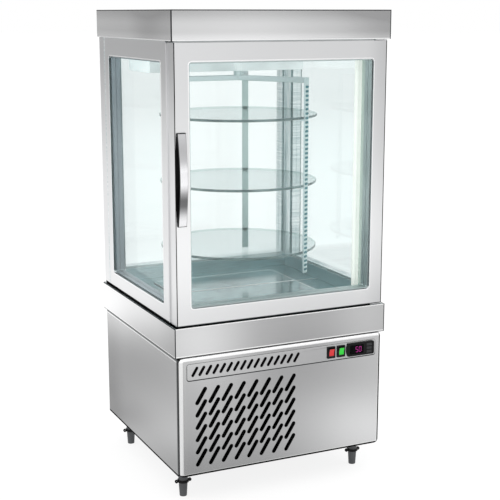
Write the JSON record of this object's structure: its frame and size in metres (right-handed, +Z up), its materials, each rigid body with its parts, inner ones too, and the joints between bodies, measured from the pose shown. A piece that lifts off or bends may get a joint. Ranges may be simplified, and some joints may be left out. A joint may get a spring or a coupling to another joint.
{
  "type": "revolving refrigerated display cabinet",
  "caption": "Free-standing refrigerated glass display cabinet: double-glazed walls, hinged glass door, round glass shelves on a turning spider, and a sheet-steel cooling base.",
  "frame": {"origin": "on the floor under the feet, below the middle of the whole cabinet with its door handle", "axes": "+X to the right seen from the door side, +Y to the back, +Z up"},
  "size_m": [0.537, 0.5124, 1.1075],
  "materials": {
    "stainless_sheet": "brushed",
    "satin_aluminium": "satin anodised",
    "polished_steel": "polished",
    "galvanised_sheet": "galvanised",
    "aluminium_fins": "mill",
    "black_enamel": "black enamel",
    "clear_glass": "clear",
    "shelf_glass": "clear with a green edge",
    "display_lens": "smoked gloss",
    "red_lens": "lit lens",
    "green_lens": "lit lens",
    "charcoal_plastic": "matt",
    "black_plastic": "matt",
    "grey_plastic": "matt",
    "white_liner": "satin",
    "lamp_diffuser": "opal",
    "grey_gasket": "matt",
    "black_rubber": "matt"
  },
  "bodies": {
    "cabinet": {"base_floor": "galvanised_sheet", "base_side_left": "stainless_sheet", "base_side_right": "stainless_sheet", "base_back": "galvanised_sheet", "power_inlet": "black_plastic", "front_panel": "stainless_sheet", "control_strip": "stainless_sheet", "red_switch_housing": "black_plastic", "green_switch_housing": "black_plastic", "controller_housing": "charcoal_plastic", "display_window": "display_lens", "compressor": "black_enamel", "condenser_coil": "aluminium_fins", "condenser_shroud": "galvanised_sheet", "condenser_fan_motor": "black_enamel", "band": "stainless_sheet", "cabinet_floor": "white_liner", "floor_tray": "stainless_sheet", "body_seal": "black_rubber", "side_frame_left": "satin_aluminium", "side_glass_outer_left": "clear_glass", "side_glass_inner_left": "clear_glass", "lamp_left": "lamp_diffuser", "side_frame_right": "satin_aluminium", "side_glass_outer_right": "clear_glass", "side_glass_inner_right": "clear_glass", "lamp_right": "lamp_diffuser", "rear_frame": "satin_aluminium", "rear_glass_outer": "clear_glass", "rear_glass_inner": "clear_glass", "ceiling_panel": "white_liner", "top_cap": "stainless_sheet", "cooler_box": "satin_aluminium", "hinge_bottom": "polished_steel", "hinge_top": "polished_steel", "carousel_motor": "galvanised_sheet"},
    "door": {"door_frame": "satin_aluminium", "door_glass_outer": "clear_glass", "door_glass_inner": "clear_glass", "door_gasket": "grey_gasket", "door_handle": "satin_aluminium", "handle_recess": "black_plastic"},
    "carousel": {"carousel_hub": "polished_steel", "carousel_leg_left": "polished_steel", "carousel_leg_front": "polished_steel", "carousel_leg_rear": "polished_steel", "shelf_top": "shelf_glass", "shelf_middle": "shelf_glass", "shelf_bottom": "shelf_glass"},
    "condenser_fan": {"condenser_fan": "aluminium_fins"},
    "cooler_fan": {"cooler_fan": "black_plastic"},
    "red_rocker": {"red_rocker": "red_lens"},
    "green_rocker": {"green_rocker": "green_lens"},
    "key_set": {"key_set": "charcoal_plastic"},
    "key_up": {"key_up": "charcoal_plastic"},
    "key_down": {"key_down": "charcoal_plastic"},
    "foot_front_left": {"foot_front_left": "grey_plastic"},
    "foot_front_right": {"foot_front_right": "grey_plastic"},
    "foot_rear_left": {"foot_rear_left": "grey_plastic"},
    "foot_rear_right": {"foot_rear_right": "grey_plastic"}
  },
  "joints": [
    {"name": "door_hinge", "type": "hinge", "parent": "cabinet", "child": "door", "pos_m": [0.253, -0.21725, 0.73], "axis": [0, 0, 1], "range_deg": [0, 110]},
    {"name": "carousel_turn", "type": "hinge", "parent": "cabinet", "child": "carousel", "pos_m": [0, 0.00475, 0.95], "axis": [0, 0, 1], "continuous": true},
    {"name": "condenser_fan_turn", "type": "hinge", "parent": "cabinet", "child": "condenser_fan", "pos_m": [-0.093, -0.16525, 0.191], "axis": [0, 1, 0], "continuous": true},
    {"name": "cooler_fan_turn", "type": "hinge", "parent": "cabinet", "child": "cooler_fan", "pos_m": [0, 0.13175, 0.976], "axis": [0, 0, 1], "continuous": true},
    {"name": "red_rocker_tilt", "type": "hinge", "parent": "cabinet", "child": "red_rocker", "pos_m": [0.1227, -0.24635, 0.32], "axis": [-1, 0, 0], "range_deg": [0, 18]},
    {"name": "green_rocker_tilt", "type": "hinge", "parent": "cabinet", "child": "green_rocker", "pos_m": [0.1491, -0.24635, 0.32], "axis": [-1, 0, 0], "range_deg": [0, 18]},
    {"name": "key_set_press", "type": "slide", "parent": "cabinet", "child": "key_set", "axis": [0, 1, 0], "range_m": [0, 0.0008], "stiffness_N_per_m": 400},
    {"name": "key_up_press", "type": "slide", "parent": "cabinet", "child": "key_up", "axis": [0, 1, 0], "range_m": [0, 0.0008], "stiffness_N_per_m": 400},
    {"name": "key_down_press", "type": "slide", "parent": "cabinet", "child": "key_down", "axis": [0, 1, 0], "range_m": [0, 0.0008], "stiffness_N_per_m": 400},
    {"name": "foot_front_left_level", "type": "slide", "parent": "cabinet", "child": "foot_front_left", "axis": [0, 0, -1], "range_m": [0, 0.015]},
    {"name": "foot_front_right_level", "type": "slide", "parent": "cabinet", "child": "foot_front_right", "axis": [0, 0, -1], "range_m": [0, 0.015]},
    {"name": "foot_rear_left_level", "type": "slide", "parent": "cabinet", "child": "foot_rear_left", "axis": [0, 0, -1], "range_m": [0, 0.015]},
    {"name": "foot_rear_right_level", "type": "slide", "parent": "cabinet", "child": "foot_rear_right", "axis": [0, 0, -1], "range_m": [0, 0.015]}
  ]
}
